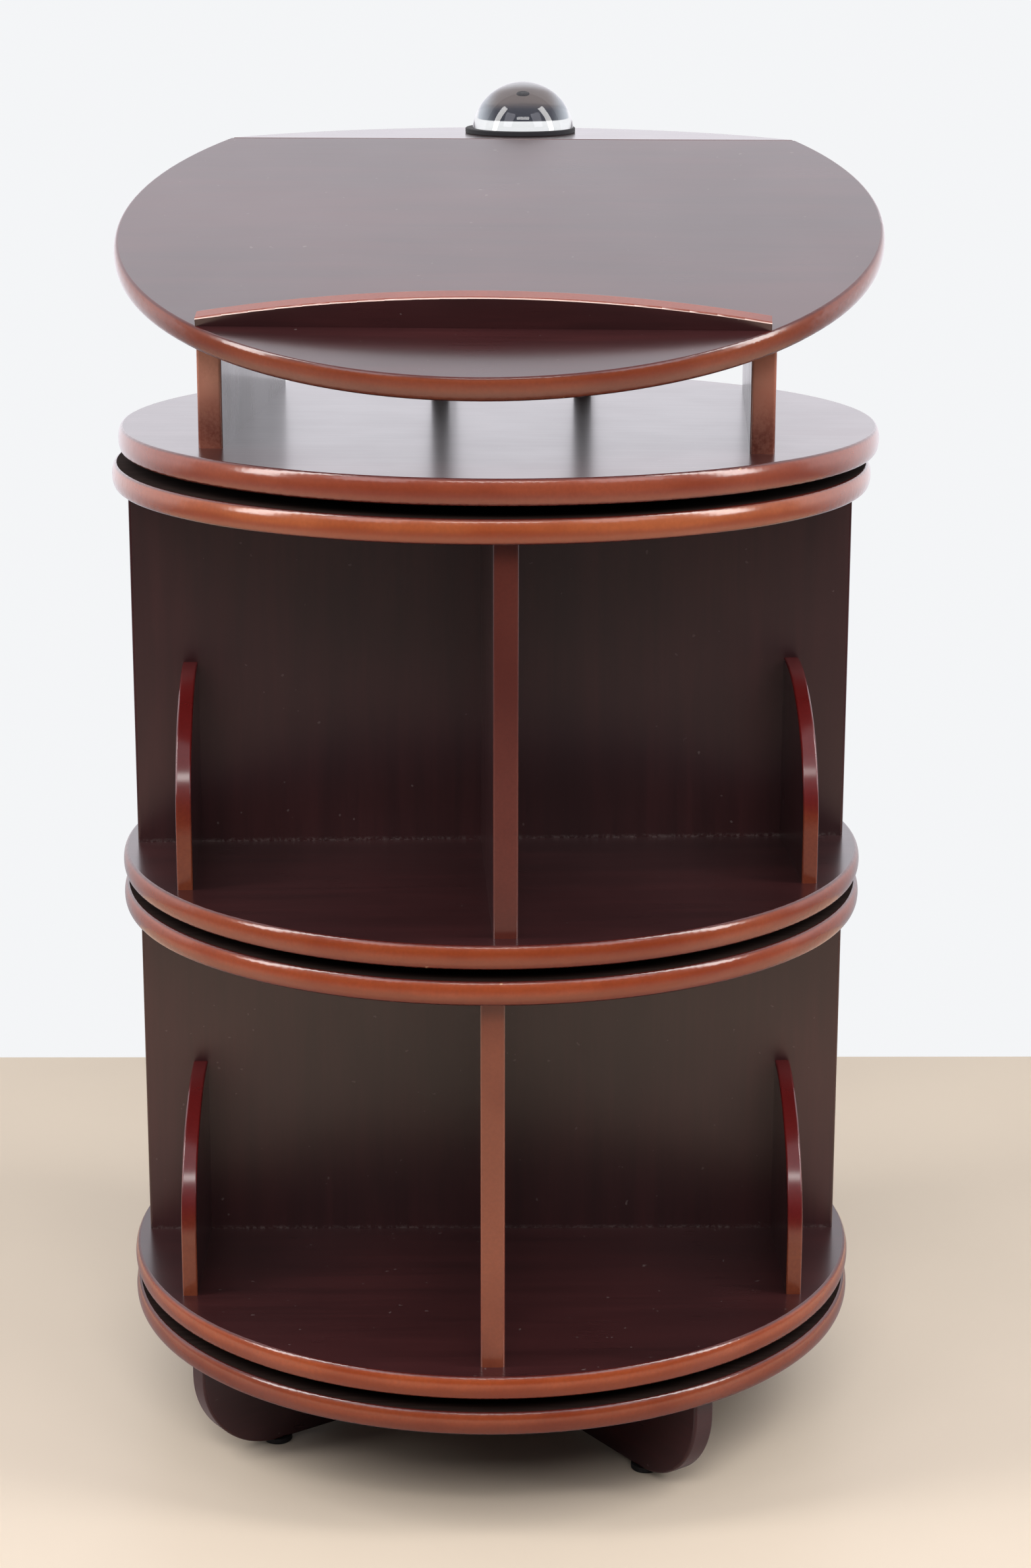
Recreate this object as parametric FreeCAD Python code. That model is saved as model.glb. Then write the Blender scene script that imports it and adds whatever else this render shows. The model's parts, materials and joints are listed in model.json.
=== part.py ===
import FreeCAD, Part
import math
import os

# Rotating media tower: cross feet, a fixed base board, two open round tiers and a lectern on a turntable.
# Each level turns on the one below it on a ring bearing. Millimetres, +Z up. The origin is on the floor,
# on the tower's turning axis; the sloped board's low side faces -Y. The lectern sits a little to one side
# of the axis.

# ---------------------------------------------------------------- driving dimensions
# Round boards
BOARD_DIAMETER = 520.0
BOARD_THICKNESS = 16.0
TURNTABLE_THICKNESS = 17.0
NOSING_DEPTH = 3.2

# Feet
GLIDE_DIAMETER = 20.0
GLIDE_HEIGHT = 4.0
GLIDE_ROUNDING = 1.2
GLIDE_SETBACK = 4.0
NAIL_DIAMETER = 2.5
NAIL_LENGTH = 14.0
FOOT_HEIGHT = 73.5
FOOT_THICKNESS = 16.0
FOOT_RIM_INSET = 10.0
FOOT_CORNER_RADIUS = 60.0

# Ring bearings
BASE_BEARING_HEIGHT = 9.5
TIER_BEARING_HEIGHT = 8.0
BEARING_FACE_GAP = 1.0
BALL_CIRCLE_DIAMETER = 250.0
BALL_DIAMETER = 4.0
BALL_COUNT = 24
BALL_CLEARANCE = 0.2
RING_GAP = 2.0
RING_WIDTH = 24.0
RING_SCREW_LENGTH = 15.0
RING_SCREW_COUNT = 4

# Tiers
SHELF_CLEAR_HEIGHT = 256.5
PANEL_THICKNESS = 16.0
PARTITION_RIM_INSET = 10.0
DIVIDER_RIM_INSET = 17.0
FIN_THICKNESS = 10.5
FIN_SIDE_INSET = 50.0
FIN_DEPTH = 119.0
FIN_HEIGHT = 130.0
FIN_CURVE_RISE = 92.0
PANEL_SCREW_LENGTH = 45.0
FIN_SCREW_LENGTH = 35.0
INNER_SCREW_RADIUS = 60.0
OUTER_SCREW_INSET = 75.0
FIN_SCREW_DEPTH = 45.0
DIVIDER_DOWEL_INSET = 64.0
DIVIDER_DOWEL_GRIP = 15.0

# Lectern
LECTERN_OFFSET = 5.0
BOOK_TILT = 16.9
REAR_TILT = 2.0
RIDGE_RIM_INSET = 101.0
RIDGE_HEIGHT = 181.0
RISER_THICKNESS = 16.0
RISER_SIDE_INSET = 82.5
RISER_FRONT_INSET = 113.0
RISER_BACK_INSET = 85.0
REAR_PARTITION_SPACING = 104.5
REAR_PARTITION_THICKNESS = 13.0
REAR_PARTITION_LAP = 4.0
REAR_PARTITION_BACK_INSET = 30.0
LIP_END_INSET = 3.5
LIP_THICKNESS = 12.0
LIP_RIM_INSET = 77.0
LIP_END_HEIGHT = 5.5
LIP_CENTRE_HEIGHT = 21.0
LIP_SCREW_LENGTH = 22.0
LIP_SCREW_SPACING = 110.0
RISER_SCREW_INSET = 27.0
BOOK_DOWEL_INSET = 60.0
UPRIGHT_GRIP = 14.0

# Glass dome
DOME_DIAMETER = 75.0
DOME_HEIGHT = 32.8
DOME_EDGE = 0.8
FELT_THICKNESS = 3.5
FELT_OVERHANG = 2.9
FELT_SHIFT = -2.0
DOME_SETBACK = 57.0
DOME_SIDE = 5.0

# Fasteners
SCREW_DIAMETER = 4.0
SCREW_HEAD_DIAMETER = 8.0
SCREW_HEAD_DEPTH = 2.4
SCREW_TIP = 4.0
DOWEL_DIAMETER = 8.0
DOWEL_GRIP = 10.0
FASTENER_CLEARANCE = 0.1

# Edges and joints
EDGE_ROUNDING = 2.0
FIN_ROUNDING = 1.2
LIP_ROUNDING = 1.2
RIDGE_ROUNDING = 1.0
LAP_CLEARANCE = 0.2

# Resting angles of the levels about +Z, in degrees
FOOT_ANGLE = 35.2
LOWER_TIER_ANGLE = 0.15
UPPER_TIER_ANGLE = 2.1
LECTERN_ANGLE = -3.6

# ---------------------------------------------------------------- derived places
BOARD_RADIUS = BOARD_DIAMETER / 2
PANEL_HALF = PANEL_THICKNESS / 2
FOOT_REACH = BOARD_RADIUS - FOOT_RIM_INSET
GLIDE_RADIUS = FOOT_REACH - FOOT_CORNER_RADIUS - GLIDE_SETBACK
ARM_TURNS = (0, 90, 180, 270)
BASE_BOTTOM = GLIDE_HEIGHT + FOOT_HEIGHT
BASE_TOP = BASE_BOTTOM + BOARD_THICKNESS
TIER_HEIGHT = SHELF_CLEAR_HEIGHT + 2 * BOARD_THICKNESS
LOWER_TIER_BOTTOM = BASE_TOP + BASE_BEARING_HEIGHT
LOWER_TIER_TOP = LOWER_TIER_BOTTOM + TIER_HEIGHT
UPPER_TIER_BOTTOM = LOWER_TIER_TOP + TIER_BEARING_HEIGHT
UPPER_TIER_TOP = UPPER_TIER_BOTTOM + TIER_HEIGHT
TURNTABLE_BOTTOM = UPPER_TIER_TOP + TIER_BEARING_HEIGHT
TURNTABLE_TOP = TURNTABLE_BOTTOM + TURNTABLE_THICKNESS
PARTITION_HALF_WIDTH = BOARD_RADIUS - PARTITION_RIM_INSET
DIVIDER_FRONT = BOARD_RADIUS - DIVIDER_RIM_INSET
FIN_CENTRE = BOARD_RADIUS - FIN_SIDE_INSET
SCREW_RADII = (INNER_SCREW_RADIUS, BOARD_RADIUS - OUTER_SCREW_INSET)
BALL_RADIUS = BALL_DIAMETER / 2
BALL_CIRCLE_RADIUS = BALL_CIRCLE_DIAMETER / 2
RING_SCREW_OFFSET = (RING_GAP + RING_WIDTH) / 2
RIDGE_OFFSET = BOARD_RADIUS - RIDGE_RIM_INSET
RIDGE_Y = RIDGE_OFFSET * math.cos(math.radians(BOOK_TILT))
RIDGE_Z = TURNTABLE_TOP + RIDGE_HEIGHT
MITRE_TILT = (BOOK_TILT + REAR_TILT) / 2
RISER_CENTRE = BOARD_RADIUS - RISER_SIDE_INSET
RISER_FRONT = BOARD_RADIUS - RISER_FRONT_INSET
LECTERN_BACK = BOARD_RADIUS - RISER_BACK_INSET
REAR_PARTITION_CENTRE = REAR_PARTITION_SPACING / 2
REAR_PARTITION_FRONT = RIDGE_Y - REAR_PARTITION_LAP
REAR_PARTITION_BACK = BOARD_RADIUS - REAR_PARTITION_BACK_INSET
LIP_FRONT = BOARD_RADIUS - LIP_RIM_INSET
LIP_HALF_LENGTH = math.sqrt(BOARD_RADIUS ** 2 - LIP_FRONT ** 2) - LIP_END_INSET
DOME_RADIUS = DOME_DIAMETER / 2

X_AXIS = FreeCAD.Vector(1, 0, 0)
Y_AXIS = FreeCAD.Vector(0, 1, 0)
Z_AXIS = FreeCAD.Vector(0, 0, 1)
ORIGIN = FreeCAD.Vector(0, 0, 0)
SAME_LENGTH = 0.01
BIG = 4 * BOARD_DIAMETER


# ---------------------------------------------------------------- helpers
def vec(x, y, z):
    return FreeCAD.Vector(x, y, z)


def moved(shape, x, y, z):
    """A copy of the shape, moved."""
    copy = shape.copy()
    copy.translate(vec(x, y, z))
    return copy


def spun(shape, degrees):
    """A copy of the shape, turned about the tower's axis."""
    copy = shape.copy()
    copy.rotate(ORIGIN, Z_AXIS, degrees)
    return copy


def slab(x_low, x_high, y_low, y_high, z_low, z_high):
    """A box between two corners."""
    return Part.makeBox(x_high - x_low, y_high - y_low, z_high - z_low, vec(x_low, y_low, z_low))


def revolved(edges):
    """The solid swept by a closed outline in the XZ plane about the Z axis."""
    face = Part.Face(Part.Wire(Part.__sortEdges__(edges)))
    return face.revolve(ORIGIN, Z_AXIS, 360)


def outline(points):
    """Straight edges through the points, closed."""
    return [Part.makeLine(a, b) for a, b in zip(points, points[1:] + points[:1])]


def extruded(edges, direction):
    """The solid swept by a closed flat outline along a direction."""
    return Part.Face(Part.Wire(Part.__sortEdges__(edges))).extrude(direction)


def edges_where(shape, chooses):
    """Those edges of the shape whose centre the function chooses."""
    return [edge for edge in shape.Edges if chooses(edge.CenterOfMass)]


def near(value, target):
    """True for two lengths that are the same but for rounding."""
    return abs(value - target) < SAME_LENGTH


def half_space(point, normal):
    """A block that fills the side of a plane that the normal points to."""
    block = Part.makeBox(BIG, BIG, BIG, vec(-BIG / 2, -BIG / 2, 0))
    block.Placement = FreeCAD.Placement(point, FreeCAD.Rotation(Z_AXIS, normal))
    return block


def aimed(shape, point, direction):
    """A copy of a shape that points down -Z from the origin, set at a point and aimed elsewhere."""
    copy = shape.copy()
    copy.Placement = FreeCAD.Placement(point, FreeCAD.Rotation(vec(0, 0, -1), direction))
    return copy


def save(name, shape):
    shape.exportStep("parts/" + name + ".step")


# ---------------------------------------------------------------- fasteners
def countersunk(length, grow):
    """A countersunk screw down -Z with its head's face at the origin; grow makes it the hole for one."""
    head = SCREW_HEAD_DIAMETER / 2 + grow
    shank = SCREW_DIAMETER / 2 + grow
    end = length + grow
    points = [ORIGIN, vec(head, 0, 0), vec(shank, 0, -SCREW_HEAD_DEPTH - grow)]
    points += [vec(shank, 0, SCREW_TIP - end), vec(0, 0, -end)]
    return revolved(outline(points))


def dowel(length, grow):
    """A round dowel down -Z from the origin; grow makes it the hole for one."""
    return Part.makeCylinder(DOWEL_DIAMETER / 2 + grow, length + grow, vec(0, 0, -length - grow))


def dowel_between(point, direction, before, after, grow):
    """A dowel through a point on a joint face, reaching so far before it and so far after it."""
    start = point - direction * (before + grow)
    return aimed(dowel(before + after + grow, grow), start, direction)


def screws_at(places, length, grow=0.0):
    """One screw, or one screw hole, for each (point, direction)."""
    tool = countersunk(length, grow)
    return [aimed(tool, point, direction) for point, direction in places]


def drilled(board, holes):
    """The board with the holes cut from it."""
    return board.cut(Part.makeCompound(holes))


# ---------------------------------------------------------------- round boards
def round_board(bottom, thickness=BOARD_THICKNESS):
    """A round board whose rim swells out in half an ellipse; its lower face is at the height given."""
    flat = BOARD_RADIUS - NOSING_DEPTH
    middle = thickness / 2
    nosing = Part.Ellipse(vec(flat, 0, thickness), vec(BOARD_RADIUS, 0, middle), vec(flat, 0, middle))
    edges = [Part.makeLine(ORIGIN, vec(flat, 0, 0))]
    edges.append(Part.ArcOfEllipse(nosing, 0, math.pi).toShape())
    edges.append(Part.makeLine(vec(flat, 0, thickness), vec(0, 0, thickness)))
    edges.append(Part.makeLine(vec(0, 0, thickness), ORIGIN))
    return moved(revolved(edges), 0, 0, bottom)


# ---------------------------------------------------------------- ring bearings
def bearing_ring(inner, outer, low, high, track_level):
    """A square-section ring with the ball track cut into it."""
    ring = Part.makeCylinder(outer, high - low, vec(0, 0, low))
    ring = ring.cut(Part.makeCylinder(inner, high - low, vec(0, 0, low)))
    track = Part.makeTorus(BALL_CIRCLE_RADIUS, BALL_RADIUS + BALL_CLEARANCE, vec(0, 0, track_level))
    return ring.cut(track)


def ring_screws(radius, level, direction, grow):
    """The screws round one ring, or their holes."""
    step = 2 * math.pi / RING_SCREW_COUNT
    angles = [(index + 0.5) * step for index in range(RING_SCREW_COUNT)]
    places = [(vec(radius * math.cos(a), radius * math.sin(a), level), direction) for a in angles]
    return screws_at(places, RING_SCREW_LENGTH, grow)


def outer_ring_screws(bottom, height, grow=0.0):
    """Screws, or their holes, down through the outer ring into the board below."""
    level = bottom + height - BEARING_FACE_GAP
    return ring_screws(BALL_CIRCLE_RADIUS + RING_SCREW_OFFSET, level, -Z_AXIS, grow)


def inner_ring_screws(bottom, grow=0.0):
    """Screws, or their holes, up through the inner ring into the board above."""
    return ring_screws(BALL_CIRCLE_RADIUS - RING_SCREW_OFFSET, bottom + BEARING_FACE_GAP, Z_AXIS, grow)


def outer_ring(bottom, height):
    low = BALL_CIRCLE_RADIUS + RING_GAP / 2
    top = bottom + height - BEARING_FACE_GAP
    ring = bearing_ring(low, low + RING_WIDTH, bottom, top, bottom + height / 2)
    return drilled(ring, outer_ring_screws(bottom, height, FASTENER_CLEARANCE))


def inner_ring(bottom, height):
    high = BALL_CIRCLE_RADIUS - RING_GAP / 2
    foot = bottom + BEARING_FACE_GAP
    ring = bearing_ring(high - RING_WIDTH, high, foot, bottom + height, bottom + height / 2)
    return drilled(ring, inner_ring_screws(bottom, FASTENER_CLEARANCE))


def balls(level):
    """The balls, evenly spaced in the track."""
    ball = Part.makeSphere(BALL_RADIUS, vec(BALL_CIRCLE_RADIUS, 0, level))
    return Part.makeCompound([spun(ball, 360 * index / BALL_COUNT) for index in range(BALL_COUNT)])


def save_bearing(name, bottom, height, angle_below, angle_above):
    """The outer ring stays with the board below and the inner ring with the board above."""
    outer_screws = Part.makeCompound(outer_ring_screws(bottom, height))
    inner_screws = Part.makeCompound(inner_ring_screws(bottom))
    save(name + "_bearing_outer_ring", spun(outer_ring(bottom, height), angle_below))
    save(name + "_bearing_balls", spun(balls(bottom + height / 2), angle_below))
    save(name + "_bearing_outer_screws", spun(outer_screws, angle_below))
    save(name + "_bearing_inner_ring", spun(inner_ring(bottom, height), angle_above))
    save(name + "_bearing_inner_screws", spun(inner_screws, angle_above))


# ---------------------------------------------------------------- base
def foot_plank():
    """A plank on edge along X with both lower corners well rounded."""
    low = GLIDE_HEIGHT
    high = BASE_BOTTOM
    turn = FOOT_REACH - FOOT_CORNER_RADIUS
    rise = low + FOOT_CORNER_RADIUS
    diagonal = FOOT_CORNER_RADIUS * math.sqrt(0.5)
    y = -FOOT_THICKNESS / 2
    edges = [Part.makeLine(vec(-turn, y, low), vec(turn, y, low))]
    for side in (-1, 1):
        middle = vec(side * (turn + diagonal), y, rise - diagonal)
        arc = Part.Arc(vec(side * turn, y, low), middle, vec(side * FOOT_REACH, y, rise))
        edges.append(arc.toShape())
        edges.append(Part.makeLine(vec(side * FOOT_REACH, y, rise), vec(side * FOOT_REACH, y, high)))
    edges.append(Part.makeLine(vec(-FOOT_REACH, y, high), vec(FOOT_REACH, y, high)))
    plank = extruded(edges, Y_AXIS * FOOT_THICKNESS)
    rim = edges_where(plank, lambda c: near(abs(c.y), FOOT_THICKNESS / 2) and not near(c.z, high))
    return plank.makeFillet(EDGE_ROUNDING, rim)


def foot_lap(z_low, z_high):
    """The notch at the middle of a plank that the other plank crosses in."""
    half = FOOT_THICKNESS / 2 + LAP_CLEARANCE
    return slab(-half, half, -FOOT_THICKNESS, FOOT_THICKNESS, z_low, z_high)


def glide():
    """A nail-on glide that stands on the floor, its nail up."""
    disc = Part.makeCylinder(GLIDE_DIAMETER / 2, GLIDE_HEIGHT)
    disc = disc.makeFillet(GLIDE_ROUNDING, edges_where(disc, lambda c: near(c.z, 0) and near(c.x, 0)))
    nail = Part.makeCylinder(NAIL_DIAMETER / 2, NAIL_LENGTH + GLIDE_HEIGHT / 2, vec(0, 0, GLIDE_HEIGHT / 2))
    return disc.fuse(nail)


def nail_hole():
    return Part.makeCylinder(NAIL_DIAMETER / 2 + FASTENER_CLEARANCE, NAIL_LENGTH + FASTENER_CLEARANCE,
                             vec(0, 0, GLIDE_HEIGHT))


def base_screw_places():
    """Screws down through the base board into both planks."""
    places = []
    for radius in SCREW_RADII:
        for turn in ARM_TURNS:
            angle = math.radians(FOOT_ANGLE + turn)
            places.append((vec(radius * math.cos(angle), radius * math.sin(angle), BASE_TOP), -Z_AXIS))
    return places


def save_base():
    middle = GLIDE_HEIGHT + FOOT_HEIGHT / 2
    screw_holes = screws_at(base_screw_places(), PANEL_SCREW_LENGTH, FASTENER_CLEARANCE)
    nail_holes = [spun(moved(nail_hole(), GLIDE_RADIUS, 0, 0), FOOT_ANGLE + turn) for turn in ARM_TURNS]
    ring_holes = outer_ring_screws(BASE_TOP, BASE_BEARING_HEIGHT, FASTENER_CLEARANCE)
    board_holes = screw_holes + [spun(hole, FOOT_ANGLE) for hole in ring_holes]
    glides = [spun(moved(glide(), GLIDE_RADIUS, 0, 0), FOOT_ANGLE + turn) for turn in ARM_TURNS]
    lower = spun(foot_plank().cut(foot_lap(middle, BASE_BOTTOM)), FOOT_ANGLE)
    upper = spun(foot_plank().cut(foot_lap(0, middle)), FOOT_ANGLE + 90)
    save("foot_plank_lower", drilled(lower, screw_holes + nail_holes))
    save("foot_plank_upper", drilled(upper, screw_holes + nail_holes))
    save("foot_glides", Part.makeCompound(glides))
    save("base_board", drilled(round_board(BASE_BOTTOM), board_holes))
    save("base_screws", Part.makeCompound(screws_at(base_screw_places(), PANEL_SCREW_LENGTH)))


# ---------------------------------------------------------------- tiers
def partition(low, high):
    """The full-width upright panel on the centre line."""
    panel = slab(-PARTITION_HALF_WIDTH, PARTITION_HALF_WIDTH, -PANEL_HALF, PANEL_HALF, low, high)
    ends = edges_where(panel, lambda c: near(abs(c.x), PARTITION_HALF_WIDTH) and near(abs(c.y), PANEL_HALF))
    return panel.makeFillet(EDGE_ROUNDING, ends)


def divider(low, high):
    """The upright panel from the partition to the front rim."""
    panel = slab(-PANEL_HALF, PANEL_HALF, -DIVIDER_FRONT, -PANEL_HALF, low, high)
    front = edges_where(panel, lambda c: near(c.y, -DIVIDER_FRONT) and near(abs(c.x), PANEL_HALF))
    return panel.makeFillet(EDGE_ROUNDING, front)


def fin(low):
    """A low upright at the front right, its top curved down to a plumb front edge."""
    x = FIN_CENTRE - FIN_THICKNESS / 2
    back = -PANEL_HALF
    front = back - FIN_DEPTH
    shoulder = low + FIN_HEIGHT - FIN_CURVE_RISE
    centre = vec(x, back, shoulder)
    curve = Part.Ellipse(vec(x, front, shoulder), vec(x, back, low + FIN_HEIGHT), centre)
    edges = [Part.makeLine(vec(x, back, low), vec(x, front, low))]
    edges.append(Part.makeLine(vec(x, front, low), vec(x, front, shoulder)))
    edges.append(Part.ArcOfEllipse(curve, 0, math.pi / 2).toShape())
    edges.append(Part.makeLine(vec(x, back, low + FIN_HEIGHT), vec(x, back, low)))
    plate = extruded(edges, X_AXIS * FIN_THICKNESS)
    side = FIN_THICKNESS / 2
    rim = edges_where(plate, lambda c: near(abs(c.x - FIN_CENTRE), side)
                      and not near(c.y, back) and not near(c.z, low))
    return plate.makeFillet(FIN_ROUNDING, rim)


def panel_screw_places(level, direction):
    """Screws into the edges of the partition and both dividers."""
    points = []
    for radius in SCREW_RADII:
        points += [(radius, 0), (-radius, 0), (0, radius), (0, -radius)]
    return [(vec(x, y, level), direction) for x, y in points]


def fin_screw_places(level):
    """Screws up into the four fins."""
    reach = PANEL_HALF + FIN_SCREW_DEPTH
    return [(vec(x, y, level), Z_AXIS) for x in (-FIN_CENTRE, FIN_CENTRE) for y in (-reach, reach)]


def divider_dowels(low, grow):
    """Dowels through the partition into both dividers."""
    reach = PANEL_HALF + DIVIDER_DOWEL_GRIP
    levels = (DIVIDER_DOWEL_INSET, SHELF_CLEAR_HEIGHT - DIVIDER_DOWEL_INSET)
    return [dowel_between(vec(0, 0, low + level), Y_AXIS, reach, reach, grow) for level in levels]


def tier_screws(bottom, grow=0.0):
    """Screws, or their holes: those from below and those from above."""
    top = bottom + TIER_HEIGHT
    from_below = screws_at(panel_screw_places(bottom, Z_AXIS), PANEL_SCREW_LENGTH, grow)
    from_below += screws_at(fin_screw_places(bottom), FIN_SCREW_LENGTH, grow)
    from_above = screws_at(panel_screw_places(top, -Z_AXIS), PANEL_SCREW_LENGTH, grow)
    return from_below, from_above


def save_tier(name, bottom, bearing_height, angle):
    """A tier whose shelf board stands on a bearing of the height given."""
    low = bottom + BOARD_THICKNESS
    high = low + SHELF_CLEAR_HEIGHT
    below_holes, above_holes = tier_screws(bottom, FASTENER_CLEARANCE)
    panel_holes = below_holes + above_holes + divider_dowels(low, FASTENER_CLEARANCE)
    shelf_holes = below_holes + inner_ring_screws(bottom - bearing_height, FASTENER_CLEARANCE)
    ring_holes = outer_ring_screws(bottom + TIER_HEIGHT, TIER_BEARING_HEIGHT, FASTENER_CLEARANCE)
    top_holes = above_holes + ring_holes
    save(name + "_shelf_board", spun(drilled(round_board(bottom), shelf_holes), angle))
    save(name + "_top_board", spun(drilled(round_board(high), top_holes), angle))
    save(name + "_partition", spun(drilled(partition(low, high), panel_holes), angle))
    save(name + "_divider_front", spun(drilled(divider(low, high), panel_holes), angle))
    save(name + "_divider_back", spun(drilled(spun(divider(low, high), 180), panel_holes), angle))
    right = fin(low)
    left = right.mirror(ORIGIN, X_AXIS)
    save(name + "_fin_front_right", spun(drilled(right, below_holes), angle))
    save(name + "_fin_front_left", spun(drilled(left, below_holes), angle))
    save(name + "_fin_back_left", spun(drilled(spun(right, 180), below_holes), angle))
    save(name + "_fin_back_right", spun(drilled(spun(left, 180), below_holes), angle))
    below, above = tier_screws(bottom)
    save(name + "_screws_bottom", spun(Part.makeCompound(below), angle))
    save(name + "_screws_top", spun(Part.makeCompound(above), angle))
    save(name + "_divider_dowels", spun(Part.makeCompound(divider_dowels(low, 0)), angle))


# ---------------------------------------------------------------- lectern
def slope(tilt):
    """Unit vectors along a board that rises to the rear, and square to it."""
    angle = math.radians(tilt)
    return vec(0, math.cos(angle), math.sin(angle)), vec(0, -math.sin(angle), math.cos(angle))


RIDGE = vec(0, RIDGE_Y, RIDGE_Z)
BOOK_ALONG, BOOK_UP = slope(BOOK_TILT)
REAR_ALONG, REAR_UP = slope(REAR_TILT)
MITRE_ALONG, MITRE_UP = slope(MITRE_TILT)


def laid(shape, tilt):
    """A shape modelled level, its ridge line on the X axis, laid at the ridge with its tilt."""
    copy = shape.copy()
    copy.rotate(ORIGIN, X_AXIS, tilt)
    copy.translate(RIDGE)
    return copy


def cut_disc(tilt):
    """A round board whose upper face passes through the ridge, its centre RIDGE_OFFSET in front of it."""
    return laid(moved(round_board(-BOARD_THICKNESS), 0, -RIDGE_OFFSET, 0), tilt)


def ridge_rounded(board):
    """The board with its upper arris along the ridge taken off."""
    arris = edges_where(board, lambda c: near((c - RIDGE).Length, 0))
    return board.makeFillet(RIDGE_ROUNDING, arris)


def book_board():
    """The sloped part of the disc, in front of the mitred ridge."""
    return ridge_rounded(cut_disc(BOOK_TILT).cut(half_space(RIDGE, MITRE_ALONG)))


def rear_board():
    """The segment of the disc behind the ridge."""
    return ridge_rounded(cut_disc(REAR_TILT).cut(half_space(RIDGE, -MITRE_ALONG)))


def underside_height(y):
    """Height of the boards' lower face above a place between front and back."""
    book_point = RIDGE - BOOK_UP * BOARD_THICKNESS
    rear_point = RIDGE - REAR_UP * BOARD_THICKNESS
    book = book_point.z + (y - book_point.y) * math.tan(math.radians(BOOK_TILT))
    rear = rear_point.z + (y - rear_point.y) * math.tan(math.radians(REAR_TILT))
    return min(book, rear)


def underside_bend():
    """Where the lower face changes slope, under the ridge."""
    drop = BOARD_THICKNESS / math.cos(math.radians(BOOK_TILT - MITRE_TILT))
    return RIDGE - MITRE_UP * drop


def upright(x_centre, y_front, y_back, thickness):
    """An upright plank under the boards, its top cut to their slopes."""
    x = x_centre - thickness / 2
    bend = underside_bend()
    points = [vec(x, y_front, TURNTABLE_TOP), vec(x, y_front, underside_height(y_front))]
    points.append(vec(x, bend.y, bend.z))
    points += [vec(x, y_back, underside_height(y_back)), vec(x, y_back, TURNTABLE_TOP)]
    plank = extruded(outline(points), X_AXIS * thickness)
    ends = edges_where(plank, lambda c: (near(c.y, y_front) or near(c.y, y_back))
                   and near(abs(c.x - x_centre), thickness / 2))
    return plank.makeFillet(EDGE_ROUNDING, ends)


def riser(side):
    return upright(side * RISER_CENTRE, -RISER_FRONT, LECTERN_BACK, RISER_THICKNESS)


def rear_partition(side):
    centre = side * REAR_PARTITION_CENTRE
    return upright(centre, REAR_PARTITION_FRONT, REAR_PARTITION_BACK, REAR_PARTITION_THICKNESS)


def rear_partition_rows():
    """Where a rear partition is fastened: a quarter of its depth from each end."""
    quarter = (REAR_PARTITION_BACK - REAR_PARTITION_FRONT) / 4
    return REAR_PARTITION_FRONT + quarter, REAR_PARTITION_BACK - quarter


def book_lip():
    """The low plank that stops a book, its top a shallow arch; modelled level, ridge line on the X axis."""
    front = -RIDGE_OFFSET - LIP_FRONT
    half = LIP_HALF_LENGTH
    left = vec(-half, front, LIP_END_HEIGHT)
    right = vec(half, front, LIP_END_HEIGHT)
    edges = [Part.makeLine(vec(-half, front, 0), vec(half, front, 0))]
    edges.append(Part.makeLine(vec(half, front, 0), right))
    edges.append(Part.Arc(right, vec(0, front, LIP_CENTRE_HEIGHT), left).toShape())
    edges.append(Part.makeLine(left, vec(-half, front, 0)))
    plank = extruded(edges, Y_AXIS * LIP_THICKNESS)
    arch = edges_where(plank, lambda c: near(c.x, 0) and c.z > LIP_END_HEIGHT)
    return laid(plank.makeFillet(LIP_ROUNDING, arch), BOOK_TILT)


def riser_screw_places():
    """Screws up through the turntable board into the risers and the rear partitions."""
    middle = (LECTERN_BACK - RISER_FRONT) / 2
    rows = (RISER_SCREW_INSET - RISER_FRONT, middle, LECTERN_BACK - RISER_SCREW_INSET)
    points = [(side * RISER_CENTRE, y) for side in (-1, 1) for y in rows]
    points += [(side * REAR_PARTITION_CENTRE, y) for side in (-1, 1) for y in rear_partition_rows()]
    return [(vec(x, y, TURNTABLE_BOTTOM), Z_AXIS) for x, y in points]


def lip_screws(grow):
    """Screws up through the book board into the lip."""
    row = -RIDGE_OFFSET - LIP_FRONT + LIP_THICKNESS / 2
    xs = (-LIP_SCREW_SPACING, 0, LIP_SCREW_SPACING)
    places = [(vec(x, row, -BOARD_THICKNESS), Z_AXIS) for x in xs]
    return [laid(screw, BOOK_TILT) for screw in screws_at(places, LIP_SCREW_LENGTH, grow)]


def board_dowels(xs, setback, tilt, grow):
    """Dowels from the uprights' top edges into a board's lower face, square to it."""
    points = [vec(x, setback, -BOARD_THICKNESS) for x in xs]
    return [laid(dowel_between(point, Z_AXIS, UPRIGHT_GRIP, DOWEL_GRIP, grow), tilt) for point in points]


def book_dowels(grow):
    """Dowels between the risers and the book board."""
    slope_length = (RIDGE_Y + RISER_FRONT) / math.cos(math.radians(BOOK_TILT))
    xs = (-RISER_CENTRE, RISER_CENTRE)
    upper = board_dowels(xs, -BOOK_DOWEL_INSET, BOOK_TILT, grow)
    lower = board_dowels(xs, BOOK_DOWEL_INSET - slope_length, BOOK_TILT, grow)
    return upper + lower


def rear_dowels(grow):
    """Dowels between the risers, the rear partitions and the rear board."""
    dowels = board_dowels((-RISER_CENTRE, RISER_CENTRE), (LECTERN_BACK - RIDGE_Y) / 2, REAR_TILT, grow)
    xs = (-REAR_PARTITION_CENTRE, REAR_PARTITION_CENTRE)
    for row in rear_partition_rows():
        dowels += board_dowels(xs, row - RIDGE_Y, REAR_TILT, grow)
    return dowels


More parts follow.
